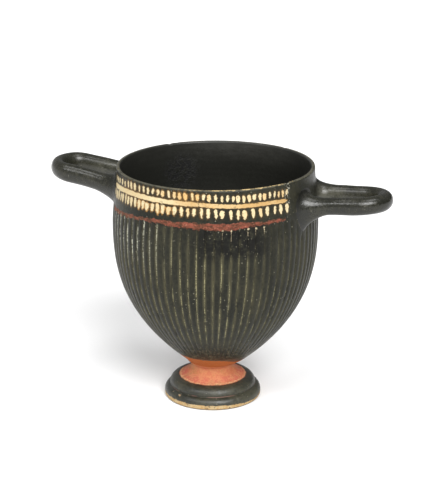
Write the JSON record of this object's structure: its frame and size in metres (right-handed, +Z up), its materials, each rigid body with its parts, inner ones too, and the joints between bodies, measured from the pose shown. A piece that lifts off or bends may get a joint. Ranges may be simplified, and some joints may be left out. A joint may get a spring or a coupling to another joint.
{
  "type": "skyphos",
  "caption": "Ribbed drinking cup of fired clay on a moulded foot, with flared, looped side handles below the lip; it holds drink or stands on display.",
  "frame": {"origin": "on the bowl's axis, in the plane the foot rests on", "axes": "+Z up along the bowl's axis, +X towards the right handle, -Y out of the painted side that the picture shows"},
  "size_m": [0.2192, 0.1268, 0.1504],
  "materials": {
    "clay_gloss": "black slip on fired clay, worn to a soft gloss"
  },
  "bodies": {
    "root": {"skyphos": "clay_gloss"}
  },
  "joints": []
}
